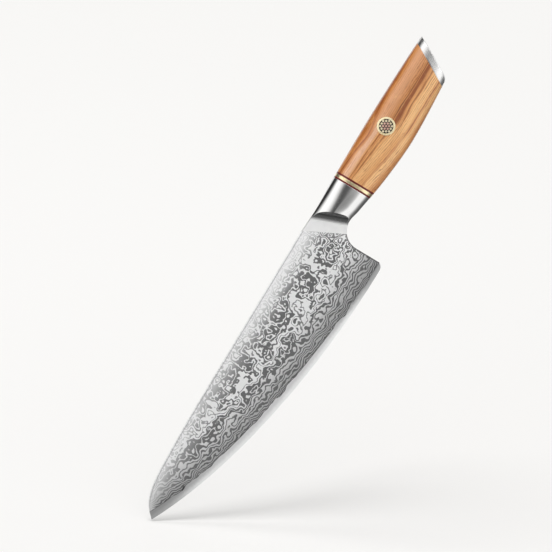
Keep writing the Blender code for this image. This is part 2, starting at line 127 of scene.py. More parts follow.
# Blade
TIP_HALF_THICKNESS = 0.5
CORE_SHARE = 0.32  # the hard core's share of the spine thickness
TIP_CURVE = ((240.0, 14.0), (264.0, 13.9), (290.5, 13.1), (302.5, 12.35), (312.1, 10.55), (319.3, 7.25))
HEEL_X = 122.4  # the straight heel; the foot of the weld lies a little further back
HEEL_RADIUS = 4.0
EDGE_MIDDLE_X = 186.4  # the edge curve's two inner control points
EDGE_FRONT = (268.5, -27.1)
CORE_SHOWS = ((118.0, 2.3), (150.0, 3.1), (180.0, 4.0), (240.0, 4.4), (330.0, 4.2))  # (x, width of bare core)
SHARPENED = 0.8  # width of the final bevel
SHOULDER_SHARE = 0.4  # core thickness left at the top of the final bevel
FLATNESS = 1.25  # 1 is a flat wedge, and more is a slightly convex side
SPINE_ROUND = 0.38  # rounding of the spine and of the choil
SHEET_GAP = 0.02
BLADE_COLUMNS = 300
BLADE_ROWS = 84
SPINE_ROWS = (0.0, 0.03, 0.07, 0.13, 0.21, 0.31, 0.45)  # rows that carry the spine's rounding
EVEN_FROM = 0.8  # where the even rows begin
EDGE_ROWS = (0.5, 0.3, 0.15, 0.07, 0.0)
HEEL_LEAD = 0.5  # straight stretch that leads into the heel's corner
CHOIL_STEPS = 400
CORNER_STEPS = 60
EDGE_STEPS = 4001
THINNEST = 0.01  # thickness that keeps the cladding a closed body where it runs out
BLADE_SHARP = 50  # degrees between faces from which a corner stays sharp
# Waves of the line above the bare core, and where that line is even
CORE_WAVES = ((0.42, 3.3, 0.6), (0.32, 1.9, 2.0), (0.16, 0.83, 0.0))  # (height, length, phase) of its line
CORE_SWELL = (0.6, 0.6, 11.0)  # share of the waves that always shows, share that swells, and its length
CORE_EVEN_HEEL = 8.0
CORE_EVEN_TIP = (22.0, 12.0)  # distances from the tip over which the waves run out


def box_mm(node):
    low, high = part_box(node)
    return low / MM, high / MM


CORE_LOW, CORE_HIGH = box_mm("blade_core")
EDGE_Z = CORE_LOW.z
SPINE_Z = CORE_HIGH.z
BLADE_HALF_THICKNESS = box_mm("cladding_left")[1].y
CHOIL_MIDDLE_X = HEEL_X - CHOIL_RADIUS
TIP = (CORE_HIGH.x, 1.7)
EDGE_CURVE = ((HEEL_X + HEEL_RADIUS, EDGE_Z), (EDGE_MIDDLE_X, EDGE_Z), EDGE_FRONT, TIP)


# ---- curves and sections


def curve(knots, x):
    """Cubic curve through (x, value) knots, with each inner knot's slope taken from its neighbours."""
    xs, values = np.array(knots, float).T
    before = np.maximum(np.arange(len(xs)) - 1, 0)
    after = np.minimum(np.arange(len(xs)) + 1, len(xs) - 1)
    slopes = (values[after] - values[before]) / (xs[after] - xs[before])
    i = np.clip(np.searchsorted(xs, x) - 1, 0, len(xs) - 2)
    span = xs[i + 1] - xs[i]
    t = (x - xs[i]) / span
    start = (2 * t**3 - 3 * t**2 + 1) * values[i] + (t**3 - 2 * t**2 + t) * span * slopes[i]
    end = (3 * t**2 - 2 * t**3) * values[i + 1] + (t**3 - t**2) * span * slopes[i + 1]
    return start + end


def blend(x, low, high):
    """Smooth step from 0 at low to 1 at high."""
    t = np.clip((x - low) / (high - low), 0.0, 1.0)
    return t * t * (3 - 2 * t)


def lower_of(a, b, softness):
    """The smaller of two values, with the corner between them rounded off."""
    return (a + b - np.sqrt((a - b) ** 2 + softness**2)) / 2


def choil_z(x):
    return CHOIL_MIDDLE_Z + np.sqrt(np.maximum(CHOIL_RADIUS**2 - (x - CHOIL_MIDDLE_X) ** 2, 0.0))


def handle_bottom(x):
    """The underside of the handle and bolster, which runs into the choil."""
    share = blend(x, *CHOIL_BLEND)
    return (1 - share) * curve(HANDLE_BOTTOM, x) + share * choil_z(x)


def oval(x, angle):
    """(y, z) of the handle's surface at x, for an angle around its section."""
    top = curve(HANDLE_TOP, x)
    bottom = handle_bottom(x)
    power = 2 / curve(OVAL_POWER, x)
    y = curve(HANDLE_HALF_WIDTH, x) * np.abs(np.cos(angle)) ** power * np.sign(np.cos(angle))
    z = (top + bottom) / 2 + (top - bottom) / 2 * np.abs(np.sin(angle)) ** power * np.sign(np.sin(angle))
    return y, z


def handle_side(x, z):
    """How far the handle's side stands from the middle plane at (x, z)."""
    top = curve(HANDLE_TOP, x)
    bottom = handle_bottom(x)
    power = curve(OVAL_POWER, x)
    share = np.clip(np.abs(2 * z - top - bottom) / (top - bottom), 0.0, 1.0)
    return curve(HANDLE_HALF_WIDTH, x) * (1 - share**power) ** (1 / power)


def section_angles():
    return TURN * np.arange(AROUND) / AROUND


def handle_rings(x_at_axis, slant):
    """Sections of the handle, each at its place on the X axis and leaning back by its slant as it rises."""
    angles = section_angles()
    starts = np.asarray(x_at_axis, float)[:, None]
    slants = np.broadcast_to(slant, len(x_at_axis))[:, None]
    x = starts + 0 * angles
    for _ in range(RING_ROUNDS):
        y, z = oval(x, angles)
        x = starts - slants * z
    return np.stack([x, y, z], axis=-1)


def inset(rings, amounts):
    """Draws each point of the rings towards its ring's middle."""
    arms = rings - rings.mean(axis=1, keepdims=True)
    lengths = np.linalg.norm(arms, axis=-1, keepdims=True)
    return rings - arms / lengths * np.asarray(amounts)[..., None]


def eased_stations(back, front, count):
    """Places along the handle with the broken corners at both ends, and the inset at each."""
    middle = np.linspace(back, front, count + 1)[1:-1]
    places = [back + d for d, _ in EASE] + list(middle) + [front - d for d, _ in reversed(EASE)]
    insets = [i for _, i in EASE] + [0.0] * len(middle) + [i for _, i in reversed(EASE)]
    return np.array(places), np.array(insets)


# ---- meshes


def add_object(name, data):
    obj = bpy.data.objects.new(name, data)
    bpy.context.scene.collection.objects.link(obj)
    return obj


def finish_mesh(name, mesh, look, sharp_degrees=35):
    """Welds coincident points, turns the faces outward and makes the object."""
    bm = bmesh.new()
    bm.from_mesh(mesh)
    bmesh.ops.remove_doubles(bm, verts=bm.verts, dist=SAME_POINT)
    bmesh.ops.recalc_face_normals(bm, faces=bm.faces)
    bm.to_mesh(mesh)
    bm.free()
    if look:
        mesh.materials.append(look)
        mesh.shade_smooth()
        mesh.set_sharp_from_angle(angle=math.radians(sharp_degrees))
    return add_object(name, mesh)


def skin(name, rings, look=None):
    """A closed body over rings of points in millimetres, with a flat face at each end."""
    count, around = rings.shape[:2]
    mesh = bpy.data.meshes.new(name)
    points = (rings.reshape(-1, 3) * MM).tolist()
    faces = []
    for i in range(count - 1):
        for j in range(around):
            k = (j + 1) % around
            faces.append((i * around + j, i * around + k, (i + 1) * around + k, (i + 1) * around + j))
    faces.append(tuple(range(around)))
    faces.append(tuple(range((count - 1) * around, count * around)))
    mesh.from_pydata(points, [], faces)
    return finish_mesh(name, mesh, look)


def across(outline, y):
    """The (x, z) points of an outline, at one place across the handle."""
    return np.column_stack([outline[:, 0], np.full(len(outline), y), outline[:, 1]])


def prism(name, outline, half_width, look=None):
    """Extrudes an (x, z) outline to both sides of the blade's plane."""
    outline = np.asarray(outline, float)
    return skin(name, np.array([across(outline, y) for y in (-half_width, half_width)]), look)


def points_mm(mesh):
    """The mesh's points in millimetres, one row each."""
    co = np.zeros(len(mesh.vertices) * 3)
    mesh.vertices.foreach_get("co", co)
    return co.reshape(-1, 3) / MM


def write_attributes(mesh, **values):
    """Stores numbers on the mesh's points for the looks to read."""
    for name, numbers in values.items():
        made = mesh.attributes.new(name, "FLOAT", "POINT")
        made.data.foreach_set("value", np.asarray(numbers, np.float32))


def circle(x, z, radius, segments):
    angles = TURN * np.arange(segments) / segments
    return np.column_stack([x + radius * np.cos(angles), z + radius * np.sin(angles)])


def cut(obj, cutter):
    """Applies an exact Boolean difference and removes the cutter."""
    modifier = obj.modifiers.new("cut", "BOOLEAN")
    modifier.operation = "DIFFERENCE"
    modifier.solver = "EXACT"
    modifier.object = cutter
    bpy.context.view_layer.objects.active = obj
    bpy.ops.object.modifier_apply(modifier=modifier.name)
    bpy.data.objects.remove(cutter)


def place(obj, node, slot, *more_nodes):
    """Puts a piece on the knife in place of its CAD node."""
    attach(obj, "root")
    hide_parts(node, *more_nodes)


def slot_outline(margin):
    """Outline of the tang grown by margin, open towards the blade."""
    low, high = box_mm("tang")
    radius = TANG_CORNER + margin
    corners = []
    for middle_z, start in ((high.z + margin - radius, 90), (low.z - margin + radius, 180)):
        for step in range(TANG_CORNER_STEPS + 1):
            angle = math.radians(start + 90 * step / TANG_CORNER_STEPS)
            middle_x = low.x - margin + radius
            corners.append((middle_x + radius * math.cos(angle), middle_z + radius * math.sin(angle)))
    return corners


def tang_cutter(margin, front):
    corners = slot_outline(margin)
    outline = [(front, corners[0][1]), *corners, (front, corners[-1][1])]
    return prism("tang_cutter", outline, box_mm("tang")[1].y + margin)


# ---- node graphs


class Graph:
    """A material's or world's node tree, built by calls that take numbers or earlier outputs."""

    def __init__(self, owner):
        owner.use_nodes = True
        self.owner = owner
        self.tree = owner.node_tree

    def plug(self, socket, value):
        if isinstance(value, bpy.types.NodeSocket):
            self.tree.links.new(value, socket)
        elif socket.type == "RGBA":
            red, green, blue = (value,) * 3 if isinstance(value, float) else value
            socket.default_value = (red, green, blue, 1.0)
        else:
            socket.default_value = value

    def node(self, kind, inputs=None, **settings):
        made = self.tree.nodes.new("ShaderNode" + kind)
        for key, value in settings.items():
            setattr(made, key, value)
        for name, value in (inputs or {}).items():
            self.plug(made.inputs[name], value)
        return made

    def math(self, operation, *values, clamp=False):
        made = self.node("Math", dict(enumerate(values)), operation=operation, use_clamp=clamp)
        return made.outputs[0]

    def add(self, *values):
        total = values[0]
        for value in values[1:]:
            total = self.math("ADD", total, value)
        return total

    def times(self, *values):
        total = values[0]
        for value in values[1:]:
            total = self.math("MULTIPLY", total, value)
        return total

    def step(self, value, low, high, out_low=0.0, out_high=1.0):
        """Smooth step of value from low to high."""
        inputs = {"Value": value, "From Min": low, "From Max": high, "To Min": out_low, "To Max": out_high}
        return self.node("MapRange", inputs, interpolation_type="SMOOTHSTEP").outputs[0]

    def mix(self, factor, a, b, blend_type="MIX"):
        made = self.node("Mix", data_type="RGBA", blend_type=blend_type)
        self.plug(made.inputs[0], factor)
        self.plug(made.inputs[6], a)
        self.plug(made.inputs[7], b)
        return made.outputs[2]

    def mix_value(self, factor, a, b):
        return self.node("Mix", {0: factor, 2: a, 3: b}, data_type="FLOAT").outputs[0]

    def ramp(self, value, stops, low=0.0, high=1.0):
        """Colour ramp whose stops are (value, colour) pairs between low and high."""
        position = self.node("MapRange", {"Value": value, "From Min": low, "From Max": high}).outputs[0]
        made = self.node("ValToRGB", {"Fac": position})
        elements = made.color_ramp.elements
        while len(elements) < len(stops):
            elements.new(0.5)
        for element, (at, colour) in zip(elements, sorted(stops)):
            element.position = (at - low) / (high - low)
            element.color = (*colour, 1.0)
        return made.outputs[0]

    def scaled(self, vector, scale, shift):
        return self.node("VectorMath", {0: vector, 1: scale, 2: shift}, operation="MULTIPLY_ADD").outputs[0]

    def millimetres(self, stretch=(1.0, 1.0, 1.0), shift=(0.0, 0.0, 0.0)):
        """Place on the knife in millimetres, stretched by dividing each axis by its share."""
        coordinates = self.node("TexCoord").outputs["Object"]
        scale = tuple(1 / (MM * s) for s in stretch)
        return self.scaled(coordinates, scale, shift)

    def axes(self, vector):
        return self.node("SeparateXYZ", {0: vector}).outputs

    def noise(self, vector, size=1.0, detail=2.0, roughness=0.5, distortion=0.0):
        """Noise from about -0.5 to 0.5, with features of the given size."""
        inputs = {"Vector": vector, "Scale": 1 / size, "Detail": detail}
        made = self.node("TexNoise", {**inputs, "Roughness": roughness, "Distortion": distortion})
        return self.math("SUBTRACT", made.outputs[0], 0.5)

    def grain(self, size, detail=2.0, roughness=0.5, stretch=(1.0, 1.0, 1.0)):
        """Noise that lies still on the knife, with features in millimetres, drawn out by stretch."""
        return self.noise(self.millimetres(stretch), size, detail, roughness)

    def grey_value(self, level):
        return self.node("CombineXYZ", {0: level, 1: level, 2: level}).outputs[0]

    def warped(self, vector, size, amount, detail=1.0):
        """The vector shifted about by a noise of the given size."""
        inputs = {"Vector": vector, "Scale": 1 / size, "Detail": detail}
        swirl = self.node("TexNoise", inputs).outputs["Color"]
        centred = self.node("VectorMath", {0: swirl, 1: (0.5, 0.5, 0.5)}, operation="SUBTRACT").outputs[0]
        return self.scaled(centred, amount, vector)

    def attribute(self, name):
        return self.node("Attribute", attribute_name=name).outputs["Fac"]

    def bump(self, height, depth, strength=1.0):
        """Normals of a surface with this height, in millimetres for each unit of height."""
        return self.node("Bump", {"Height": height, "Distance": depth * MM, "Strength": strength}).outputs[0]

    def matter(self, colour, roughness, height, depth, metallic=1.0):
        """A bare surface, of metal unless metallic says otherwise, with height and depth as in bump."""
        normal = self.bump(height, depth)
        return self.surface(Base_Color=colour, Metallic=metallic, Roughness=roughness, Normal=normal)

    def surface(self, **inputs):
        """Sets the Principled shader's inputs, whose names are written with underscores."""
        shader = self.tree.nodes["Principled BSDF"]
        for name, value in inputs.items():
            self.plug(shader.inputs[name.replace("_", " ")], value)
        return self.owner


def new_look(name):
    return Graph(bpy.data.materials.new(name))


def srgb(red, green, blue):
    """Linear colour of an 8-bit display colour."""
    channels = []
    for value in (red, green, blue):
        share = value / 255
        channels.append(share / 12.92 if share <= 0.04045 else ((share + 0.055) / 1.055) ** 2.4)
    return tuple(channels)


def grey(level):
    return (level, level, level)


# ---- looks


CAP_POLISH = 0.27  # roughness
BOLSTER_POLISH = 0.12
SATIN = 0.52
STEEL = (0.80, 0.795, 0.785)
HAZY_STEEL = (0.62, 0.615, 0.61)
SATIN_STEEL = (0.92, 0.92, 0.915)


def polished_steel(name, polish):
    """Hand-polished steel: fine lengthwise lines, satin ricasso, and painted shade that darkens the plunge
    cut towards its rear edge.
    """
    g = new_look(name)
    lines = g.grain(0.22, 2.0, 0.6, stretch=(40.0, 1.0, 1.0))
    cloud = g.grain(5.0)
    satin = g.attribute("satin")
    roughness = g.add(g.mix_value(satin, polish, SATIN), g.times(cloud, 0.05), g.times(lines, 0.05))
    colour = g.mix(satin, STEEL, SATIN_STEEL)
    colour = g.mix(g.math("ADD", g.times(cloud, 0.4), 0.1, clamp=True), colour, HAZY_STEEL)
    # Painted shade on the plunge cut, deepest in its concave corner
    colour = g.mix(g.attribute("facet"), colour, 0.70)
    colour = g.mix(g.attribute("corner"), colour, 0.26)
    return g.matter(colour, roughness, g.add(g.times(lines, 0.6), g.times(cloud, 0.5)), 0.004)


# Bare core: distances from the butt between which its tone changes, and tones from the heel to the tip
CORE_REAR = (135.0, 185.0)
CORE_FRONT = (265.0, 318.0)
CORE_SMOKE = (0.32, 0.72, 0.36)
EDGE_REAR = (128.0, 165.0)
EDGE_NEAR_TIP = (285.0, 322.0)
EDGE_BRIGHT = (0.45, 0.96, 0.46)
SMOKE_FROM_EDGE = (0.5, 3.6)


def core_steel():
    """Hard core: satin, smoky under the cladding line and bright at the edge."""
    g = new_look("core_steel")
    along = g.axes(g.millimetres())[0]
    scratches = g.grain(0.25, 2.0, 0.6, stretch=(1.0, 1.0, 25.0))
    cloud = g.grain(2.2, 3.0, 0.6)
    rear, middle, front = CORE_SMOKE
    smoky = g.mix(g.step(along, *CORE_REAR), rear, middle)
    smoky = g.mix(g.step(along, *CORE_FRONT), smoky, front)
    rear, middle, front = EDGE_BRIGHT
    bright = g.mix(g.step(along, *EDGE_NEAR_TIP), middle, front)
    bright = g.mix(g.step(along, *EDGE_REAR), rear, bright)
    far = g.add(g.attribute("from_edge"), g.times(cloud, 1.6))
    colour = g.mix(g.step(far, *SMOKE_FROM_EDGE), bright, smoky)
    roughness = g.add(0.46, g.times(scratches, 0.16), g.times(cloud, 0.06))
    return g.matter(colour, roughness, scratches, 0.006)


# Blade pattern: where its zones start and end, by distance from the edge, the spine, the weld or the butt
OPEN_FIELD = (9.0, 22.0)  # above the edge, where close wavy lines give way to large patches
FINE_AT_SPINE = (15.0, 4.0)  # small swirls
FINE_AT_WELD = (20.0, 5.0)
SPINE_GLARE = (13.0, 0.6)  # painted glare: under the spine the pattern fades to pale
FRONT_HALF = (170.0, 230.0)  # from the butt, where the fine zone and the painted glare run out to the spine
LAYERS = 15.0  # cut by the grind from the edge up
LAYER_REACH = 12.0  # distance in which the spacing of the layers grows by a factor of e
PATTERN_SHIFT = 37.0  # of each side's noise, one way and the other, so that the sides differ
LIGHT_FROM = (-0.42, 0.40)  # wave heights between which dark metal turns to light
SPINE_SHADE_LINE = (0.45, 0.75, 1.0, 1.35)  # distances under the spine of a painted shade line along the rounding


def layer_pattern(g, side, from_edge, ahead):
    """Share of light metal: contour lines of a hammered stack, cut open by the grind, closest at the edge."""
    position = g.millimetres(stretch=(1.2, 1.0, 1.0), shift=(0.0, PATTERN_SHIFT * side, 0.0))
    broad = g.noise(g.warped(position, 5.0, (4.0, 0.0, 4.0)), 7.0, 0.5)
    eyes = g.noise(g.warped(position, 3.0, (1.8, 0.0, 2.2)), 3.2, 0.6)
    streaks = g.noise(g.millimetres(stretch=(1.0, 1.0, 4.5), shift=(0.0, 11.0 * side, 0.0)), 1.5, 1.5)
    open_field = g.step(from_edge, *OPEN_FIELD)
    spine_zone = g.step(g.add(g.attribute("from_spine"), g.times(ahead, 9.0)), *FINE_AT_SPINE)
    fine = g.math("MAXIMUM", g.step(g.attribute("from_weld"), *FINE_AT_WELD), spine_zone)
    fading = g.math("EXPONENT", g.times(from_edge, -1 / LAYER_REACH))
    stack = g.times(LAYERS, g.math("SUBTRACT", 1.0, fading))
    broad_depth = g.times(broad, g.mix_value(open_field, 3.0, 5.2))
    eye_depth = g.times(eyes, g.add(3.0, g.times(fine, 1.6)))
    streak_depth = g.times(streaks, open_field, 0.9)
    layer = g.add(stack, broad_depth, eye_depth, streak_depth)
    thin = g.math("SINE", g.times(layer, TURN))
    thick = g.math("SINE", g.add(g.times(layer, TURN * 0.31), 1.3))
    thick_share = g.times(thick, g.mix_value(open_field, 0.2, 0.85), g.mix_value(fine, 1.0, 0.3))
    return g.step(g.add(thin, thick_share), *LIGHT_FROM), position


def damascus_steel(name, side):
    """Etched layers: light and dark metal, each with its own tone at the edge, the weld and the spine, where
    the dark metal's lighter tone is painted glare; painted glare also pales the pattern under the spine, and
    painted shade lines the rounded spine and back.
    """
    g = new_look(name)
    from_edge = g.attribute("from_edge")
    from_spine = g.attribute("from_spine")
    ahead = g.step(g.axes(g.millimetres())[0], *FRONT_HALF)
    light_layer, position = layer_pattern(g, side, from_edge, ahead)
    grain = g.grain(0.22, 2.0, 0.6, stretch=(1.0, 1.0, 12.0))
    cloud = g.noise(position, 9.0, 2.0)
    # Painted glare: the dark metal is lighter towards the spine
    dark = g.mix(g.step(from_spine, 3.0, 17.0), 0.40, 0.155)
    dark = g.mix(g.step(g.attribute("from_weld"), 0.0, 5.0), 0.30, dark)
    dark = g.mix(g.step(from_edge, 4.0, 11.0), 0.115, dark)
    light = g.mix(g.step(from_edge, 1.0, 26.0), 0.36, 0.89)
    colour = g.mix(light_layer, dark, light)

    # Painted glare: under the spine the pattern fades to a pale, nearly even tone
    spine_glare = g.step(g.add(from_spine, g.times(cloud, 6.0), g.times(ahead, 4.5)), *SPINE_GLARE)
    colour = g.mix(g.times(spine_glare, 0.80), colour, 1.0)
    # Painted shade: a darker line under the spine's rounding, and darkening along the rounded choil and heel
    start, full, fading, end = SPINE_SHADE_LINE
    line = g.times(g.step(from_spine, start, full), g.step(from_spine, end, fading), 0.55)
    colour = g.mix(line, colour, 0.30)
    colour = g.mix(g.times(g.step(g.attribute("from_back"), 1.0, 0.5), 0.8), colour, 0.10)
    boundary = g.math("SUBTRACT", 1.0, g.step(g.attribute("from_core"), 0.25, 0.75))
    colour = g.mix(g.times(boundary, 0.75), colour, 0.13)
    colour = g.mix(g.math("ADD", g.times(grain, 0.35), 0.05, clamp=True), colour, 0.5)
    roughness = g.add(g.mix_value(light_layer, 0.60, 0.52), g.times(grain, 0.10))
    height = g.add(g.times(light_layer, 0.012), g.times(grain, 0.004))
    return g.matter(colour, roughness, height, 1.0)


def brass():
    """Brass, hand-polished: fine lines, and slightly darker where it has begun to tarnish."""
    g = new_look("brass")
    lines = g.grain(0.2, 2.0, 0.6, stretch=(12.0, 1.0, 1.0))
    tarnish = g.grain(1.6, 3.0, 0.6)
    colour = g.mix(g.step(tarnish, -0.05, 0.3), (1.0, 0.85, 0.54), (0.78, 0.58, 0.30))
    roughness = g.add(0.30, g.times(lines, 0.08), g.times(tarnish, 0.12))
    return g.matter(colour, roughness, lines, 0.004)


def pin_metal(name, bright, dull):
    """Metal of the pin: sanded flush with the wood, with lines every way and resin over the rods' rims."""
    g = new_look(name)
    lines = g.grain(0.16, 2.0, 0.6)
    tarnish = g.grain(1.6, 3.0, 0.6)
    colour = g.mix(g.step(tarnish, -0.05, 0.3), bright, dull)
    colour = g.mix(g.times(g.attribute("rim"), 0.85), colour, 0.03)
    return g.matter(colour, g.add(0.46, g.times(lines, 0.2)), lines, 0.003, metallic=0.7)


def red_spacer():
    """Dark red vulcanised fibre: pressed paper layers under a polish."""
    g = new_look("red_spacer")
    layers = g.grain(0.9, 3.0, 0.6, stretch=(0.15, 1.0, 1.0))
    flecks = g.grain(0.35, 2.0, 0.6)
    colour = g.mix(g.step(layers, -0.2, 0.2), srgb(96, 14, 9), srgb(122, 24, 16))
    colour = g.mix(g.step(flecks, 0.12, 0.3), colour, srgb(48, 8, 7))
    roughness = g.add(0.34, g.times(flecks, 0.2))
    polished = {"Coat_Weight": 0.15, "Coat_Roughness": 0.15}
    return g.surface(Base_Color=colour, Roughness=roughness, Normal=g.bump(flecks, 0.003), **polished)


# Olive wood: tones, and the heights at which they follow each other behind and in front of the pin; the pale
# streaks in the lower half are the wood's streaks, painted lighter as painted light against the shade under
# the handle
PINK = srgb(238, 186, 148)
ROSE = srgb(216, 154, 106)
PALE = srgb(252, 196, 130)
HONEY = srgb(234, 168, 100)
TAN = srgb(210, 140, 78)
AMBER = srgb(186, 112, 50)
BROWN = srgb(150, 78, 28)
UMBER = srgb(104, 50, 18)
REAR_STREAKS = (
    (-16.5, AMBER), (-14.2, TAN), (-12.4, PALE), (-10.8, HONEY), (-10.3, BROWN), (-9.8, HONEY),
    (-8.5, PALE), (-5.2, PALE), (-4.4, HONEY), (-4.0, BROWN), (-3.3, HONEY), (-2.0, TAN),
    (-1.3, BROWN), (0.2, BROWN), (0.9, TAN), (1.4, UMBER), (2.1, TAN), (5.0, ROSE), (9.0, ROSE),
    (11.2, TAN), (12.1, AMBER), (12.7, BROWN), (14.5, AMBER),
)
FRONT_STREAKS = (
    (-16.5, TAN), (-14.0, HONEY), (-12.5, PALE), (-10.4, PALE), (-9.5, TAN), (-8.6, HONEY),
    (-3.0, PALE), (-0.9, HONEY), (-0.3, BROWN), (0.5, HONEY), (2.4, TAN), (3.0, BROWN),
    (3.8, HONEY), (6.0, PINK), (9.0, PINK), (10.6, TAN), (11.8, BROWN), (12.6, TAN), (15.0, AMBER),
)
STREAKS_REACH = (-17.0, 17.0)
FRONT_FROM = (42.0, 58.0)  # where the streaks behind the pin turn into those in front of it
FAN_FROM = 46.0  # the fan of streaks: where it starts, and how far it rises over what length
FAN_LENGTH = 42.0
FAN_RISE = 6.6
FAN_BEND = 1.3
KNOT_X = 60.0  # a knot above the handle bends the upper streaks down
KNOT_DIP = 3.2
KNOT_SPREAD = 130.0
GROWTH_LINE = 1.15  # spacing


def olive_wood():
    """Oiled olive wood: streaks along the handle that fan upward in front of the pin."""
    g = new_look("olive_wood")
    position = g.millimetres()
    x, y, z = g.axes(position)[:3]
    forward = g.math("MAXIMUM", g.add(x, -FAN_FROM), 0.0)
    bent = g.math("POWER", g.times(forward, 1 / FAN_LENGTH), FAN_BEND)
    rise = g.times(bent, FAN_RISE, g.step(z, 10.0, 1.0, 0.1, 1.0))
    past_knot = g.add(x, -KNOT_X)
    knot = g.math("EXPONENT", g.times(past_knot, past_knot, -1 / KNOT_SPREAD))
    dip = g.times(knot, KNOT_DIP, g.step(z, 4.0, 12.0))
    sway = g.grain(6.0, 2.0, stretch=(4.0, 2.0, 1.0))
    ripple = g.grain(1.4, 3.0, 0.6, stretch=(9.0, 2.0, 1.0))
    bent_z = g.add(g.math("SUBTRACT", z, rise), dip)
    height = g.add(bent_z, g.times(sway, 2.6), g.times(ripple, 0.9), g.times(y, 0.02))
    rear = g.ramp(height, REAR_STREAKS, *STREAKS_REACH)
    front = g.ramp(height, FRONT_STREAKS, *STREAKS_REACH)
    colour = g.mix(g.step(g.add(x, g.times(sway, 14.0)), *FRONT_FROM), rear, front)

    fibres = g.grain(0.42, 4.0, 0.65, stretch=(22.0, 1.0, 1.0))
    pores = g.grain(0.20, 1.0, stretch=(10.0, 1.0, 1.0))
    figure = g.noise(g.millimetres(stretch=(3.2, 1.0, 1.0)), 3.6, 4.0, 0.6, 0.8)
    growth = g.math("SINE", g.times(g.add(height, g.times(figure, 1.6)), TURN / GROWTH_LINE))
    lines = g.times(g.step(growth, 0.55, 1.0), g.step(sway, -0.25, 0.15), 0.75)
    colour = g.mix(g.step(figure, 0.05, 0.36), colour, AMBER)
    colour = g.mix(g.step(figure, -0.05, -0.34), colour, PALE)
    colour = g.mix(lines, colour, BROWN)
    shade = g.add(1.03, g.times(fibres, 0.75))
    colour = g.mix(1.0, colour, g.grey_value(shade), "MULTIPLY")
    colour = g.mix(g.times(g.step(pores, 0.17, 0.30), 0.55), colour, srgb(96, 52, 26))
    roughness = g.add(0.36, g.times(fibres, 0.2), g.times(g.step(pores, 0.15, 0.3), 0.2))
    normal = g.bump(g.add(g.times(fibres, 0.003), g.times(g.step(pores, 0.15, 0.3), -0.006)), 1.0)
    oiled = {"Coat_Weight": 0.8, "Coat_Roughness": 0.22, "Coat_IOR": 1.5}
    return g.surface(Base_Color=colour, Roughness=roughness, Normal=normal, **oiled)


def pin_resin():
    """Black casting resin with a few metal specks, polished."""
    g = new_look("pin_resin")
    specks = g.grain(0.18, 1.0)
    cloud = g.grain(1.0, 2.0)
    colour = g.mix(g.step(cloud, -0.2, 0.2), srgb(20, 17, 12), srgb(36, 30, 20))
    colour = g.mix(g.step(specks, 0.24, 0.34), colour, srgb(120, 104, 74))
    return g.matter(colour, g.add(0.3, g.times(cloud, 0.2)), specks, 0.01, metallic=0.0)


def bedding_epoxy():
    """Adhesive bed, hidden in the handle: amber resin with small bubbles."""
    g = new_look("bedding_epoxy")
    bubbles = g.node("TexVoronoi", {"Vector": g.millimetres(), "Scale": 1 / 1.3}).outputs["Distance"]
    cloud = g.grain(4.0, 3.0)
    colour = g.mix(g.step(cloud, -0.2, 0.2), srgb(74, 50, 24), srgb(120, 86, 44))
    colour = g.mix(g.step(bubbles, 0.22, 0.12), colour, srgb(168, 138, 92))
    return g.matter(colour, g.add(0.4, g.times(cloud, 0.2)), bubbles, 0.05, metallic=0.0)


def ground_steel():
    """Unpolished steel inside the handle: cross grinding, heat tint and small pits."""
    g = new_look("ground_steel")
    grinding = g.grain(0.5, 2.0, 0.6, stretch=(0.5, 1.0, 9.0))
    scale = g.grain(6.0, 4.0, 0.6)
    pits = g.node("TexVoronoi", {"Vector": g.millimetres(), "Scale": 1 / 1.8}).outputs["Distance"]
    colour = g.mix(g.step(scale, -0.12, 0.2), 0.42, (0.20, 0.17, 0.15))
    colour = g.mix(g.step(pits, 0.16, 0.08), colour, 0.10)
    height = g.add(g.times(grinding, 0.02), g.times(g.step(pits, 0.2, 0.05), -0.03))
    return g.matter(colour, g.add(0.45, g.times(grinding, 0.3)), height, 1.0)


def threaded_steel():
    """The cap's stud: machined thread shown as helical ridges, zinc grey with painted shade in the roots."""
    g = new_look("threaded_steel")
    x, y, z = g.axes(g.millimetres())[:3]
    turn = g.times(g.math("ARCTAN2", z, y), 1 / TURN)
    ridge = g.math("ABSOLUTE", g.math("SINE", g.times(g.add(g.times(x, 1 / 0.8), turn), math.pi)))
    wear = g.grain(1.2, 3.0)
    colour = g.mix(ridge, 0.12, 0.55)
    return g.matter(colour, g.add(0.35, g.times(wear, 0.3)), ridge, 0.2)


# ---- handle pieces


def build_cap(look):
    """The butt cap: two parallel slanted faces, sharp on top and rounded over at the heel of the hand."""
    depth = CAP_DEPTH * math.cos(CAP_ANGLE)
    distances = depth * (np.arange(CAP_RINGS) / (CAP_RINGS - 1)) ** CAP_RING_CROWDING
    rings = handle_rings(distances / math.cos(CAP_ANGLE), CAP_SLANT)
    downward = np.maximum(-np.sin(section_angles()), 0.0)
    radius = CAP_TOP_ROUND + (CAP_HEEL_ROUND - CAP_TOP_ROUND) * downward**HEEL_ROUND_SPREAD
    short = np.maximum(radius - distances[:, None], 0.0)
    rounding = radius - np.sqrt(radius**2 - short**2)
    near_joint = 1 - np.minimum(depth - distances, CAP_JOINT_REACH) / CAP_JOINT_REACH
    joint = curve(((-1.0, 0.0), (0.0, 0.0), (1.0, CAP_JOINT_BREAK)), near_joint)
    cap = skin("end_cap", inset(rings, rounding + joint[:, None]), look)
    low, high = box_mm("cap_stud")
    socket = stud_cutter(low.x - STUD_GAP, high.x, high.z + STUD_GAP)
    cut(cap, socket)
    place(cap, "end_cap", "polished_steel")


def stud_cutter(back, front, radius):
    ring = circle(0.0, 0.0, radius, STUD_AROUND)
    ends = [np.column_stack([np.full(len(ring), x), ring[:, 0], ring[:, 1]]) for x in (back, front)]
    return skin("stud_cutter", np.array(ends))


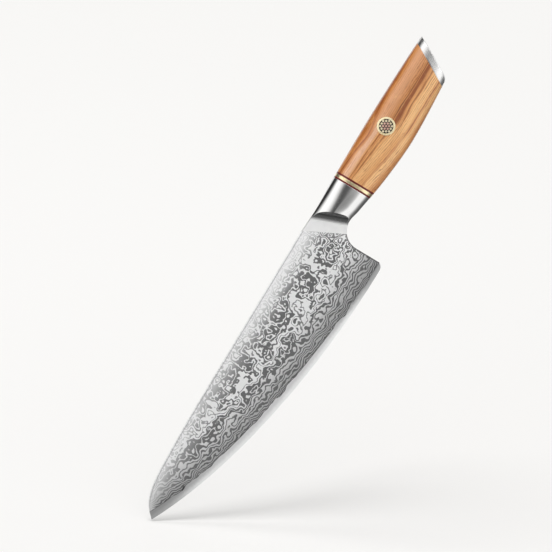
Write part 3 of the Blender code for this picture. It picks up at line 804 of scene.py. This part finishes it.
def build_wood(look):
    back = CAP_DEPTH + GLUE_LINE
    front = box_mm("wood_handle")[1].x
    places, insets = eased_stations(back, front, WOOD_COLUMNS)
    share = (front - places) / (front - back)
    slant = CAP_SLANT * blend(share, 0.05, 1.0)
    slant[: len(EASE)] = CAP_SLANT
    rings = inset(handle_rings(places, slant), insets[:, None] * np.ones(AROUND))
    wood = skin("wood_handle", rings, look)
    cut(wood, tang_cutter(TANG_GLUE, front + CAP_DEPTH))
    middle, radius = round_bar("pin_tube")
    hole = circle(middle.x, middle.z, radius + GLUE_LINE, PIN_AROUND)
    cut(wood, prism("pin_cutter", hole, 2 * box_mm("pin_tube")[1].y))
    stud_low, stud_high = box_mm("cap_stud")
    cut(wood, stud_cutter(stud_low.x, stud_high.x + STUD_GAP, stud_high.z + STUD_GAP))
    place(wood, "wood_handle", "olive_wood")


STACK = (("rear_spacer", "red_spacer"), ("brass_ring", "brass"), ("front_spacer", "red_spacer"))


def build_rings(looks):
    """The stack between wood and bolster, closed up to hairline joints."""
    for name, slot in STACK:
        low, high = box_mm(name)
        places, insets = eased_stations(low.x - GLUE_LINE, high.x + GLUE_LINE, 3)
        rings = inset(handle_rings(places, 0.0), insets[:, None] * np.ones(AROUND))
        ring = skin(name, rings, looks[slot])
        cut(ring, tang_cutter(STUD_GAP, high.x + CAP_DEPTH))
        place(ring, name, slot)


def round_bar(node):
    """Middle and radius of a round bar that runs across the handle."""
    low, high = box_mm(node)
    return (low + high) / 2, (high.x - low.x) / 2


def flush_ends(obj, below):
    """Grinds the ends of a bar across the handle to the handle's sides, or a little below them."""
    mesh = obj.data
    co = points_mm(mesh)
    side = handle_side(co[:, 0], co[:, 2])
    share = co[:, 1] / np.abs(co[:, 1]).max()
    co[:, 1] = share * (side - below)
    mesh.vertices.foreach_set("co", (co * MM).ravel())
    mesh.update()


def rod_rings(x, z, radius):
    """Rings of a rod across the handle, with slightly domed ends."""
    circles = [(circle(x, z, radius * share, ROD_AROUND), drop) for share, drop in ROD_END]
    domed = [across(outline, 1.0 - drop * ROD_DOME) for outline, drop in circles]
    mirrored = [ring * (1, -1, 1) for ring in domed]
    return np.array(mirrored + domed[::-1])


def build_tube(middle, radius, bore, look):
    """The brass tube around the mosaic, with a broken corner at its rims."""
    half = [(bore, 1.0)] + [(radius - inwards, reach) for inwards, reach in TUBE_RIM]
    profile = [(r, -y) for r, y in half] + half[::-1]
    rings = [across(circle(middle.x, middle.z, r, PIN_AROUND), y) for r, y in profile]
    tube = skin("pin_tube", np.array(rings), look)
    cut(tube, prism("bore_cutter", circle(middle.x, middle.z, bore + SHEET_GAP, PIN_AROUND), PAST_ENDS))
    flush_ends(tube, 0.0)
    place(tube, "pin_tube", "brass")


def build_pin(looks):
    """The mosaic pin: a tube full of resin that holds three kinds of rods."""
    middle, tube_radius = round_bar("pin_tube")
    _, resin_radius = round_bar("pin_resin")
    build_tube(middle, tube_radius, resin_radius, looks["pin_brass"])
    resin = prism("pin_resin", circle(middle.x, middle.z, resin_radius, PIN_AROUND), 1.0, looks["resin"])
    for name in sorted(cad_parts):
        if not name.startswith("pin_rod"):
            continue
        at, radius = round_bar(name)
        cut(resin, prism("rod_cutter", circle(at.x, at.z, radius + SHEET_GAP, ROD_AROUND), PAST_ENDS))
        metal = "brass" if "outer" in name else "copper"
        rod = skin(name, rod_rings(at.x, at.z, radius), looks["rod_" + metal])
        flush_ends(rod, 0.0)
        x, _, z = points_mm(rod.data).T
        write_attributes(rod.data, rim=blend(np.hypot(x - at.x, z - at.z) / radius, *ROD_RIM))
        place(rod, name, metal)
    flush_ends(resin, RESIN_BELOW)
    place(resin, "pin_resin", "dark_epoxy")


# ---- bolster


def ahead_of_plunge(x, z):
    """Distance ahead of the line where the cut meets the flat of the blade, square to it."""
    return (x - PLUNGE_AT[0]) * math.cos(PLUNGE_LEAN) - (z - PLUNGE_AT[1]) * math.sin(PLUNGE_LEAN)


def plunge_side(x, z):
    """Half thickness that the wheel leaves at (x, z): the blade's in front, and a concave corner behind."""
    back = np.maximum(-ahead_of_plunge(x, z), 0.0)
    inside = np.minimum(back, PLUNGE_RADIUS)
    rise = PLUNGE_RADIUS - np.sqrt(PLUNGE_RADIUS**2 - inside**2) + (back - inside) * PLUNGE_WALL
    return BLADE_HALF_THICKNESS + rise


def weld_x(z):
    return WELD_TOP_X + (z - SPINE_Z) * WELD_SLOPE


def line_across_handle(angles, start_x, x_from_z):
    """Where each lengthwise line of the handle's surface crosses a sloping line."""
    x = np.full(len(angles), start_x)
    for _ in range(LINE_ROUNDS):
        x = (x + x_from_z(oval(x, angles)[1])) / 2
    return x


def plunge_edge(angles, flat):
    """Where the plunge cut's rear edge crosses each lengthwise line of the bolster's surface."""
    low = flat - PLUNGE_FARTHEST * PLUNGE_RADIUS
    high = flat.copy()
    for _ in range(HALVINGS):
        middle = (low + high) / 2
        y, z = oval(middle, angles)
        cut_away = plunge_side(middle, z) < np.abs(y)
        high = np.where(cut_away, middle, high)
        low = np.where(cut_away, low, middle)
    return np.minimum(high, flat - PLUNGE_NARROWEST)


def bolster_columns(angles):
    """Places along the bolster where its sections lie, by lengthwise line, and the inset at each section."""
    flat = line_across_handle(
        angles, PLUNGE_AT[0], lambda z: PLUNGE_AT[0] + (z - PLUNGE_AT[1]) * math.tan(PLUNGE_LEAN)
    )
    edge = plunge_edge(angles, flat)
    front = line_across_handle(angles, PLUNGE_AT[0], lambda z: weld_x(z) - GLUE_LINE)
    back = box_mm("bolster")[0].x - GLUE_LINE
    columns = [np.full(AROUND, back + distance) for distance, _ in EASE]
    columns += [back + (edge - back) * share for share in BODY_SHARES]
    crowded = np.sin(math.pi / 2 * (1 - np.arange(CUT_COLUMNS) / CUT_COLUMNS))
    columns += [flat + (edge - flat) * share for share in crowded]
    columns += [flat + (front - flat) * share for share in np.arange(FLAT_COLUMNS + 1) / FLAT_COLUMNS]
    insets = [amount for _, amount in EASE] + [0.0] * (len(columns) - len(EASE))
    return np.array(columns), np.array(insets)


def build_bolster(look):
    """The bolster and, in one piece with it, the ricasso down to the weld."""
    angles = section_angles()
    x, insets = bolster_columns(angles)
    y, z = oval(x, angles)
    side = np.maximum(lower_of(np.abs(y), plunge_side(x, z), PLUNGE_EDGE), 0.0)
    side = np.where(np.abs(np.cos(angles)) < MIDDLE_LINE, 0.0, side)
    rings = inset(np.stack([x, np.sign(y) * side, z], axis=-1), insets[:, None] * np.ones(AROUND))
    bolster = skin("bolster", rings, look)
    cut(bolster, tang_cutter(STUD_GAP, box_mm("tang")[1].x + STUD_GAP))

    x, y, z = points_mm(bolster.data).T
    ahead = ahead_of_plunge(x, z)
    # Where painted shade darkens the plunge cut, and deeper shade its concave corner
    facet = (ahead > -PLUNGE_RADIUS) * blend(plunge_side(x, z) - np.abs(y), *FACET_TOUCH)
    write_attributes(
        bolster.data,
        satin=blend(ahead, *SATIN_FROM),
        facet=facet * blend(-ahead, *FACET_SHADE_FADE),
        corner=facet * blend(-ahead, *CORNER_SHADE_FADE),
    )
    place(bolster, "bolster", "polished_steel")


# ---- blade


def bezier(controls, t):
    """Points on a cubic Bezier curve, as arrays of x and z."""
    weights = ((1 - t) ** 3, 3 * t * (1 - t) ** 2, 3 * t**2 * (1 - t), t**3)
    return tuple(sum(w * p[k] for w, p in zip(weights, controls)) for k in (0, 1))


EDGE_TABLE = bezier(EDGE_CURVE, np.linspace(0.0, 1.0, EDGE_STEPS))
EDGE_SLOPES = np.gradient(EDGE_TABLE[1], EDGE_TABLE[0])


def above_edge(x, z):
    """Distance from the cutting edge, measured square to it."""
    height = np.interp(x, EDGE_TABLE[0], EDGE_TABLE[1])
    return (z - height) / np.hypot(1, np.interp(x, EDGE_TABLE[0], EDGE_SLOPES))


def spine_at(x):
    falling = curve((*TIP_CURVE, TIP), np.maximum(x, TIP_CURVE[0][0]))
    return np.where(x <= TIP_CURVE[0][0], SPINE_Z, falling)


def core_shows(x):
    """Width of bare core above the edge: a line as uneven as the layers that end there."""
    waves = sum(height * np.sin(x / length + phase) for height, length, phase in CORE_WAVES)
    before_tip, at_tip = (TIP[0] - distance for distance in CORE_EVEN_TIP)
    uneven = blend(x, HEEL_X, HEEL_X + CORE_EVEN_HEEL) * (1 - blend(x, before_tip, at_tip))
    mean, swell, length = CORE_SWELL
    return curve(CORE_SHOWS, x) + waves * uneven * (mean + swell * np.sin(x / length))


def half_thickness(x):
    """Half the thickness at the spine, which tapers evenly to the tip."""
    share = (x - HEEL_X) / (TIP[0] - HEEL_X)
    return BLADE_HALF_THICKNESS + (TIP_HALF_THICKNESS - BLADE_HALF_THICKNESS) * share


def rounding(distance):
    """How far a rounded corner draws a side in, at a distance from the corner."""
    short = np.clip(SPINE_ROUND - distance, 0.0, SPINE_ROUND)
    return SPINE_ROUND - np.sqrt(SPINE_ROUND**2 - short**2)


def from_back(x, z):
    """Distance from the choil and the straight heel, which are rounded like the spine."""
    from_choil = np.hypot(x - CHOIL_MIDDLE_X, z - CHOIL_MIDDLE_Z) - CHOIL_RADIUS
    return np.where(z > CHOIL_MIDDLE_Z, from_choil, x - HEEL_X)


def core_side(x, z):
    """Side of the hard core: flat between the claddings, then ground down to the edge."""
    full = CORE_SHARE * half_thickness(x)
    from_edge = np.maximum(above_edge(x, z), 0.0)
    share = np.clip((from_edge - SHARPENED) / (core_shows(x) - SHARPENED), 0.0, 1.0)
    ground = full * (SHOULDER_SHARE + (1 - SHOULDER_SHARE) * share)
    return np.where(from_edge < SHARPENED, full * SHOULDER_SHARE * from_edge / SHARPENED, ground)


def cladding_inside(x, z):
    return CORE_SHARE * half_thickness(x) + SHEET_GAP + 0 * z


def cladding_side(x, z):
    """Outer side of the cladding: a slightly convex wedge that runs out where the core shows."""
    inside = cladding_inside(x, z)
    tallest = above_edge(x, SPINE_Z) - core_shows(x)
    share = np.clip((above_edge(x, z) - core_shows(x)) / tallest, 0.0, 1.0)
    side = inside + (half_thickness(x) - inside) * (1 - (1 - share) ** FLATNESS)
    drawn_in = np.maximum(rounding(spine_at(x) - z), rounding(from_back(x, z)))
    return np.maximum(side - drawn_in, inside + np.minimum(THINNEST, side - inside))


def resample(points, lengths):
    """Points at the given distances along a polyline."""
    points = np.asarray(points, float)
    steps = np.linalg.norm(np.diff(points, axis=0), axis=1)
    along = np.concatenate([[0.0], np.cumsum(steps)])
    lengths = np.asarray(lengths) * along[-1]
    return np.column_stack([np.interp(lengths, along, points[:, k]) for k in (0, 1)])


def row_shares(height):
    """Rows of a blade sheet as shares of its back line: close together under the spine, then even."""
    return np.concatenate([np.array(SPINE_ROWS) / height, np.linspace(EVEN_FROM / height, 1.0, BLADE_ROWS)])


def arc(x, z, radius, degrees, count):
    angles = np.radians(np.linspace(*degrees, count))
    return np.column_stack([x + radius * np.cos(angles), z + radius * np.sin(angles)])


def back_line(lowest):
    """The back end of the laminate, from the spine down the weld and the choil to the straight heel."""
    choil = arc(CHOIL_MIDDLE_X, CHOIL_MIDDLE_Z, CHOIL_RADIUS, (89.0, 0.0), CHOIL_STEPS)
    choil = choil[choil[:, 0] > weld_x(choil[:, 1])]
    return np.vstack([[WELD_TOP_X, SPINE_Z], choil, [HEEL_X, lowest]])


def patch(back, shares, top, bottom):
    """Fills the space between a back line, a top line and a bottom line that meet at one point in front."""
    back = resample(back, shares)
    u = np.linspace(0.0, 1.0, len(top))[None, :, None]
    s = shares[:, None, None]
    front = top[-1]
    lengthwise = (1 - u) * back[:, None, :] + u * front
    downward = (1 - s) * top[None] + s * bottom[None]
    corners = (1 - u) * ((1 - s) * back[0] + s * back[-1]) + u * front
    return lengthwise + downward - corners


def blade_sheet(name, grid, left, right, look):
    """A closed plate over a grid of (x, z) points, between two side surfaces."""
    rows, columns = grid.shape[:2]
    x = grid[..., 0]
    z = grid[..., 1]
    sides = [np.stack([x, side(x, z), z], axis=-1).reshape(-1, 3) for side in (left, right)]
    points = (np.vstack(sides) * MM).tolist()
    count = rows * columns
    index = np.arange(count).reshape(rows, columns)
    a, b, c, d = (part.ravel() for part in (index[:-1, :-1], index[1:, :-1], index[1:, 1:], index[:-1, 1:]))
    faces = np.column_stack([a, b, c, d]).tolist()
    faces += np.column_stack([d + count, c + count, b + count, a + count]).tolist()
    rim = np.concatenate([index[0, :], index[1:, -1], index[-1, -2::-1], index[-2:0:-1, 0]])
    nxt = np.roll(rim, -1)
    faces += np.column_stack([rim, nxt, nxt + count, rim + count]).tolist()
    mesh = bpy.data.meshes.new(name)
    mesh.from_pydata(points, [], faces)
    obj = finish_mesh(name, mesh, look, BLADE_SHARP)
    x, _, z = points_mm(mesh).T
    from_edge = above_edge(x, z)
    write_attributes(
        mesh,
        from_edge=from_edge,
        from_core=from_edge - core_shows(x),
        from_spine=spine_at(x) - z,
        from_back=from_back(x, z),
        from_weld=(x - weld_x(z)) / math.hypot(1, WELD_SLOPE),
    )
    return obj


def core_line(x, z):
    """Points square above the edge, where the cladding ends."""
    slope = np.interp(x, EDGE_TABLE[0], EDGE_SLOPES)
    reach = core_shows(x) / np.hypot(1, slope)
    return x - slope * reach, z + reach


def spine_line(end, shares):
    """The spine from the weld to its front end, which is given as a point."""
    x = WELD_TOP_X + (end[0] - WELD_TOP_X) * shares
    line = np.column_stack([x, spine_at(x)])
    line[-1] = end
    return line


def build_core(shares, look):
    """The hard core, which reaches down to the cutting edge and forward to the tip."""
    corner = arc(HEEL_X + HEEL_RADIUS, EDGE_Z + HEEL_RADIUS, HEEL_RADIUS, (180.0, 270.0), CORNER_STEPS)
    back = np.vstack([back_line(EDGE_Z + HEEL_RADIUS + HEEL_LEAD), corner])
    height = SPINE_Z - EDGE_Z
    rows = np.concatenate([row_shares(height)[:-1], 1 - np.array(EDGE_ROWS) / height])
    edge = np.column_stack(bezier(EDGE_CURVE, shares))
    grid = patch(back, np.unique(rows), spine_line(TIP, shares), edge)
    core = blade_sheet("blade_core", grid, core_side, lambda x, z: -core_side(x, z), look)
    place(core, "blade_core", "core_steel")


def end_of_core_line():
    """Place on the edge curve, from 0 to 1, above which the core's line meets the spine."""
    low = 0.5
    high = 1.0
    for _ in range(HALVINGS):
        middle = (low + high) / 2
        x, z = core_line(*bezier(EDGE_CURVE, middle))
        low, high = (middle, high) if z < spine_at(x) else (low, middle)
    return middle


def build_claddings(shares, looks):
    """The two layered sheets, from the spine down to the line where the core comes out."""
    bottom = np.column_stack(core_line(*bezier(EDGE_CURVE, end_of_core_line() * shares)))
    bottom[0, 0] = HEEL_X
    rows = row_shares(SPINE_Z - EDGE_Z)
    grid = patch(back_line(bottom[0, 1]), rows, spine_line(bottom[-1], shares), bottom)
    for name, side in (("cladding_left", 1), ("cladding_right", -1)):
        sheet = blade_sheet(
            name,
            grid,
            lambda x, z, side=side: side * cladding_side(x, z),
            lambda x, z, side=side: side * cladding_inside(x, z),
            looks[name],
        )
        place(sheet, name, "damascus_steel")


def build_blade(looks):
    shares = np.linspace(0.0, 1.0, BLADE_COLUMNS + 1)
    build_core(shares, looks["core"])
    build_claddings(shares, looks)


# ---- studio

IMAGE_RIGHT = Vector((-0.5157, 0.0, -0.8568))
IMAGE_UP = Vector((-0.8568, 0.0, 0.5157))
TOWARDS_CAMERA = Vector((0.0, 1.0, 0.0))
PICTURE_WIDTH = 331.2  # at the blade's plane
PICTURE_MIDDLE = Vector((161.33, 0.0, 13.13))
LENS = 500.0
SENSOR = 36.0
CLIP_END = 40.0  # metres
BACKGROUND = srgb(248, 247, 245)
FLOOR_TILT = 0.28
FLOOR_DROP = 1.0

# Brightness of the studio around the knife, by direction in degrees about the X axis, from +Y towards +Z
STUDIO_BANDS = (
    (-180, 0.42), (-166, 0.85), (-156, 0.9), (-150, 0.1), (-112, 0.13), (-100, 0.24), (-90, 0.5),
    (-82, 0.9), (-75, 1.12), (-42, 1.2), (-34, 1.06), (-27, 0.78), (-18, 0.54), (-3, 0.43),
    (2, 0.16), (10, 0.1), (18, 0.13), (24, 0.26), (30, 0.6), (36, 0.93), (46, 1.25), (66, 1.4),
    (76, 1.0), (90, 0.2), (98, 0.04), (134, 0.04), (140, 0.9), (158, 1.1), (166, 0.2), (174, 0.12),
    (180, 0.42),
)
BRIGHTEST_BAND = 1.4
# Panels, by the share of the direction along X or Y at which they start and are whole
FRONT_PANEL = (0.42, 0.60)
REAR_PANEL = (-0.12, -0.32)
PANEL_LEVEL = 2.0
REARMOST = (-0.5, -0.75)
REARMOST_LEVEL = 0.35
FAR_SIDE = (0.35, -0.1)
FAR_SIDE_LEVEL = 0.62
DARK_END = (0.08, 0.62)  # a dark end wall in front, which the plunge cut mirrors
DARK_END_FROM = (0.04, 0.12)
DARK_END_HEIGHT = (0.55, 0.35)
DARK_END_LEVEL = 0.12
DOME_LEVEL = 0.10
DOME_SIDES = 1.03

KEY_LEAN = 0.14  # of the key light towards the camera and to the left of the picture
KEY_DISTANCE = 5000.0
KEY_SIZE = 4000.0
KEY_POWER = 200.0

FLOOR_REACH = 3000.0
FLOOR_CELLS = 24
FLOOR_COLOUR = (0.88, 0.873, 0.86)
FLOOR_GLOW = 0.04
FADE_MIDDLE = 120.0  # right of the tip in the picture
FADE = (0.25, 2.40)  # metres from there


def build_world():
    """Pale backdrop for the camera, soft light for matt surfaces, and light and dark panels to mirror."""
    world = bpy.data.worlds.new("studio")
    bpy.context.scene.world = world
    world.cycles.sampling_method = "NONE"
    g = Graph(world)
    x, y, z = g.axes(g.node("TexCoord").outputs["Generated"])[:3]
    degrees = g.times(g.math("ARCTAN2", z, y), 360 / TURN)
    bands = g.ramp(degrees, [(at, grey(level / BRIGHTEST_BAND)) for at, level in STUDIO_BANDS], -180.0, 180.0)
    bands = g.mix(1.0, bands, BRIGHTEST_BAND, "MULTIPLY")
    beside = g.math("MAXIMUM", g.step(x, *FRONT_PANEL), g.step(x, *REAR_PANEL))
    panel = g.mix(g.step(x, *REARMOST), PANEL_LEVEL, REARMOST_LEVEL)
    panel = g.mix(g.step(y, *FAR_SIDE), panel, FAR_SIDE_LEVEL)
    panels = g.mix(beside, bands, panel)
    off_axis = g.math("ABSOLUTE", g.add(z, g.times(x, math.tan(PLUNGE_LEAN))))
    forward = g.step(g.math("MAXIMUM", x, g.times(y, -2.0)), *DARK_END)
    dark_end = g.times(forward, g.step(x, *DARK_END_FROM), g.step(off_axis, *DARK_END_HEIGHT))
    mirrored = g.mix(dark_end, panels, DARK_END_LEVEL)
    dome = g.grey_value(g.add(DOME_LEVEL, g.times(DOME_SIDES, y, y)))
    path = g.node("LightPath")
    soft = g.mix(path.outputs["Is Glossy Ray"], dome, mirrored)
    seen = g.mix(path.outputs["Is Camera Ray"], soft, BACKGROUND)
    g.plug(g.tree.nodes["Background"].inputs["Color"], seen)


def build_light():
    """One large soft light above the knife in the picture, and a little in front of it."""
    light = bpy.data.lights.new("key_softbox", "AREA")
    light.shape = "DISK"
    light.size = KEY_SIZE * MM
    light.energy = KEY_POWER
    obj = add_object("key_softbox", light)
    towards = (IMAGE_UP + TOWARDS_CAMERA * KEY_LEAN - IMAGE_RIGHT * KEY_LEAN).normalized()
    obj.location = (PICTURE_MIDDLE + towards * KEY_DISTANCE) * MM
    obj.rotation_euler = towards.to_track_quat("Z", "Y").to_euler()
    obj.visible_glossy = False


def floor_look(centre):
    """Matt and pale, faded out with distance so that the backdrop takes over, and clear from underneath."""
    g = new_look("floor")
    coordinates = g.node("TexCoord").outputs["Object"]
    distance = g.node("VectorMath", {0: coordinates, 1: centre}, operation="DISTANCE").outputs["Value"]
    behind = g.node("NewGeometry").outputs["Backfacing"]
    clear = g.math("MAXIMUM", g.step(distance, *FADE), behind)
    g.surface(
        Base_Color=FLOOR_COLOUR,
        Roughness=g.add(0.9, g.times(g.noise(coordinates, 0.02, 4.0), 0.1)),
        Specular_IOR_Level=0.0,
        Emission_Color=BACKGROUND,
        Emission_Strength=FLOOR_GLOW,
    )
    shaded = g.tree.nodes["Principled BSDF"].outputs[0]
    hidden = g.node("BsdfTransparent").outputs[0]
    both = g.node("MixShader", {0: clear, 1: shaded, 2: hidden}).outputs[0]
    g.plug(g.tree.nodes["Material Output"].inputs["Surface"], both)
    return g.owner


def build_floor():
    """Pale floor just below the tip."""
    normal = (IMAGE_UP + TOWARDS_CAMERA * FLOOR_TILT).normalized()
    middle = Vector((TIP[0], 0.0, TIP[1])) - normal * FLOOR_DROP
    axes = Matrix((IMAGE_RIGHT, normal.cross(IMAGE_RIGHT), normal)).transposed().to_4x4()
    at = Matrix.Translation(middle * MM) @ axes
    bm = bmesh.new()
    cells = {"x_segments": FLOOR_CELLS, "y_segments": FLOOR_CELLS}
    bmesh.ops.create_grid(bm, **cells, size=FLOOR_REACH * MM, matrix=at)
    mesh = bpy.data.meshes.new("floor")
    bm.to_mesh(mesh)
    bm.free()
    mesh.materials.append(floor_look(tuple((middle + IMAGE_RIGHT * FADE_MIDDLE) * MM)))
    floor = add_object("floor", mesh)
    floor.visible_glossy = False


def build_camera():
    camera = bpy.data.cameras.new("camera")
    camera.sensor_width = SENSOR
    camera.lens = LENS
    camera.clip_end = CLIP_END
    obj = add_object("camera", camera)
    place_at = PICTURE_MIDDLE + TOWARDS_CAMERA * PICTURE_WIDTH * LENS / SENSOR
    turned = Matrix((IMAGE_RIGHT, IMAGE_UP, TOWARDS_CAMERA)).transposed().to_4x4()
    obj.matrix_world = Matrix.Translation(place_at * MM) @ turned
    bpy.context.scene.camera = obj
    bpy.context.scene.view_settings.view_transform = "Standard"


# ---- build

looks = {
    "brass": brass(),
    "pin_brass": pin_metal("pin_brass", (0.95, 0.84, 0.55), (0.80, 0.62, 0.32)),
    "rod_brass": pin_metal("rod_brass", (0.92, 0.80, 0.56), (0.72, 0.56, 0.32)),
    "rod_copper": pin_metal("rod_copper", (0.80, 0.50, 0.40), (0.60, 0.30, 0.22)),
    "red_spacer": red_spacer(),
    "resin": pin_resin(),
    "core": core_steel(),
    "cladding_left": damascus_steel("damascus_left", 1),
    "cladding_right": damascus_steel("damascus_right", -1),
}
build_cap(polished_steel("cap_steel", CAP_POLISH))
build_wood(olive_wood())
build_rings(looks)
build_pin(looks)
build_bolster(polished_steel("bolster_steel", BOLSTER_POLISH))
build_blade(looks)
for node, look in (("tang", ground_steel()), ("tang_epoxy", bedding_epoxy()), ("cap_stud", threaded_steel())):
    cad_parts[node].data.materials.clear()
    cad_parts[node].data.materials.append(look)
build_world()
build_light()
build_floor()
build_camera()
